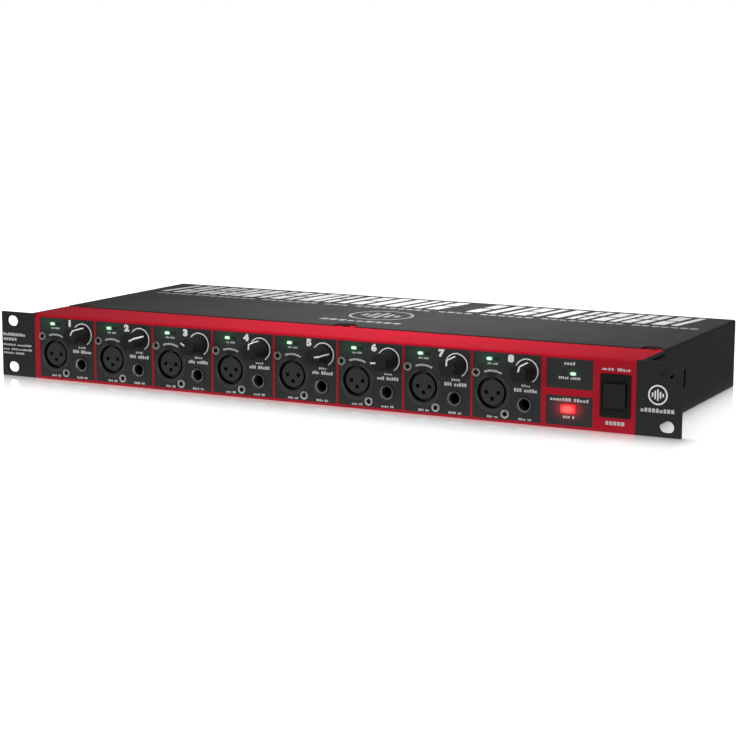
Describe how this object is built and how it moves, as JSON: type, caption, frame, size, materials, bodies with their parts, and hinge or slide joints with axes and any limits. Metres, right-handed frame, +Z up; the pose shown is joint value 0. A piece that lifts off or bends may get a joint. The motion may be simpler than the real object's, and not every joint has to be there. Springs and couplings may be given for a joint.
{
  "type": "rack audio interface",
  "caption": "Rack-mount audio interface: microphone and line inputs with gain knobs in front, balanced outputs, clock, optical and mains sockets behind, in a folded steel case.",
  "frame": {"origin": "middle of the underside of the case", "axes": "+X to the operator's right, -Y towards the front panel, +Z up"},
  "size_m": [0.4826, 0.2165, 0.0446],
  "materials": {
    "front_panel_paint": "satin red powder coat, black on the ears and behind the channels, white screen print",
    "case_paint": "fine-textured charcoal powder coat",
    "connector_plastic": "moulded black, slightly glossy",
    "knob_plastic": "satin black with a white pointer line",
    "lens": "translucent red, lit from behind",
    "zinc": "zinc-plated",
    "nickel": "bright nickel",
    "circuit_board": "green solder mask",
    "ferrite": "dark grey core with tape",
    "ribbon": "grey flat cable"
  },
  "bodies": {
    "chassis": {"front_panel": "front_panel_paint", "base_tray": "case_paint", "top_cover": "case_paint", "mic_input_1": "connector_plastic", "mic_input_2": "connector_plastic", "mic_input_3": "connector_plastic", "mic_input_4": "connector_plastic", "mic_input_5": "connector_plastic", "mic_input_6": "connector_plastic", "mic_input_7": "connector_plastic", "mic_input_8": "connector_plastic", "line_input_1": "connector_plastic", "line_input_2": "connector_plastic", "line_input_3": "connector_plastic", "line_input_4": "connector_plastic", "line_input_5": "connector_plastic", "line_input_6": "connector_plastic", "line_input_7": "connector_plastic", "line_input_8": "connector_plastic", "line_output_1": "connector_plastic", "line_output_2": "connector_plastic", "line_output_3": "connector_plastic", "line_output_4": "connector_plastic", "line_output_5": "connector_plastic", "line_output_6": "connector_plastic", "line_output_7": "connector_plastic", "line_output_8": "connector_plastic", "mains_inlet": "connector_plastic", "power_switch": "connector_plastic", "phantom_switch": "connector_plastic", "optical_input": "connector_plastic", "optical_output": "connector_plastic", "gain_pot_1": "zinc", "gain_pot_2": "zinc", "gain_pot_3": "zinc", "gain_pot_4": "zinc", "gain_pot_5": "zinc", "gain_pot_6": "zinc", "gain_pot_7": "zinc", "gain_pot_8": "zinc", "sync_switch": "zinc", "word_clock_socket": "nickel", "preamp_board": "circuit_board", "control_board": "circuit_board", "converter_board": "circuit_board", "power_supply_board": "circuit_board", "transformer": "ferrite", "ribbon_cable": "ribbon"},
    "gain_knob_1": {"gain_knob_1": "knob_plastic"},
    "gain_knob_2": {"gain_knob_2": "knob_plastic"},
    "gain_knob_3": {"gain_knob_3": "knob_plastic"},
    "gain_knob_4": {"gain_knob_4": "knob_plastic"},
    "gain_knob_5": {"gain_knob_5": "knob_plastic"},
    "gain_knob_6": {"gain_knob_6": "knob_plastic"},
    "gain_knob_7": {"gain_knob_7": "knob_plastic"},
    "gain_knob_8": {"gain_knob_8": "knob_plastic"},
    "power_button": {"power_button": "connector_plastic"},
    "phantom_button": {"phantom_button": "lens"},
    "fuse_drawer": {"fuse_drawer": "connector_plastic"},
    "sync_slider": {"sync_slider": "connector_plastic"}
  },
  "joints": [
    {"name": "gain_1", "type": "hinge", "parent": "chassis", "child": "gain_knob_1", "pos_m": [-0.1747, -0.095, 0.0322], "axis": [0, 1, 0], "range_deg": [-180, 120]},
    {"name": "gain_2", "type": "hinge", "parent": "chassis", "child": "gain_knob_2", "pos_m": [-0.12898, -0.095, 0.0322], "axis": [0, 1, 0], "range_deg": [-212, 88]},
    {"name": "gain_3", "type": "hinge", "parent": "chassis", "child": "gain_knob_3", "pos_m": [-0.08326, -0.095, 0.0322], "axis": [0, 1, 0], "range_deg": [-90, 210]},
    {"name": "gain_4", "type": "hinge", "parent": "chassis", "child": "gain_knob_4", "pos_m": [-0.03754, -0.095, 0.0322], "axis": [0, 1, 0], "range_deg": [-157, 143]},
    {"name": "gain_5", "type": "hinge", "parent": "chassis", "child": "gain_knob_5", "pos_m": [0.00818, -0.095, 0.0322], "axis": [0, 1, 0], "range_deg": [-230, 70]},
    {"name": "gain_6", "type": "hinge", "parent": "chassis", "child": "gain_knob_6", "pos_m": [0.0539, -0.095, 0.0322], "axis": [0, 1, 0], "range_deg": [-57, 243]},
    {"name": "gain_7", "type": "hinge", "parent": "chassis", "child": "gain_knob_7", "pos_m": [0.09962, -0.095, 0.0322], "axis": [0, 1, 0], "range_deg": [-154, 146]},
    {"name": "gain_8", "type": "hinge", "parent": "chassis", "child": "gain_knob_8", "pos_m": [0.14534, -0.095, 0.0322], "axis": [0, 1, 0], "range_deg": [-168, 132]},
    {"name": "power", "type": "slide", "parent": "chassis", "child": "power_button", "axis": [0, -1, 0], "range_m": [-0.0008, 0.0035]},
    {"name": "phantom", "type": "slide", "parent": "chassis", "child": "phantom_button", "axis": [0, -1, 0], "range_m": [-0.0004, 0.002]},
    {"name": "fuse_access", "type": "slide", "parent": "chassis", "child": "fuse_drawer", "axis": [0, 1, 0], "range_m": [0, 0.014]},
    {"name": "sync_source", "type": "slide", "parent": "chassis", "child": "sync_slider", "axis": [1, 0, 0], "range_m": [0, 0.009]}
  ]
}
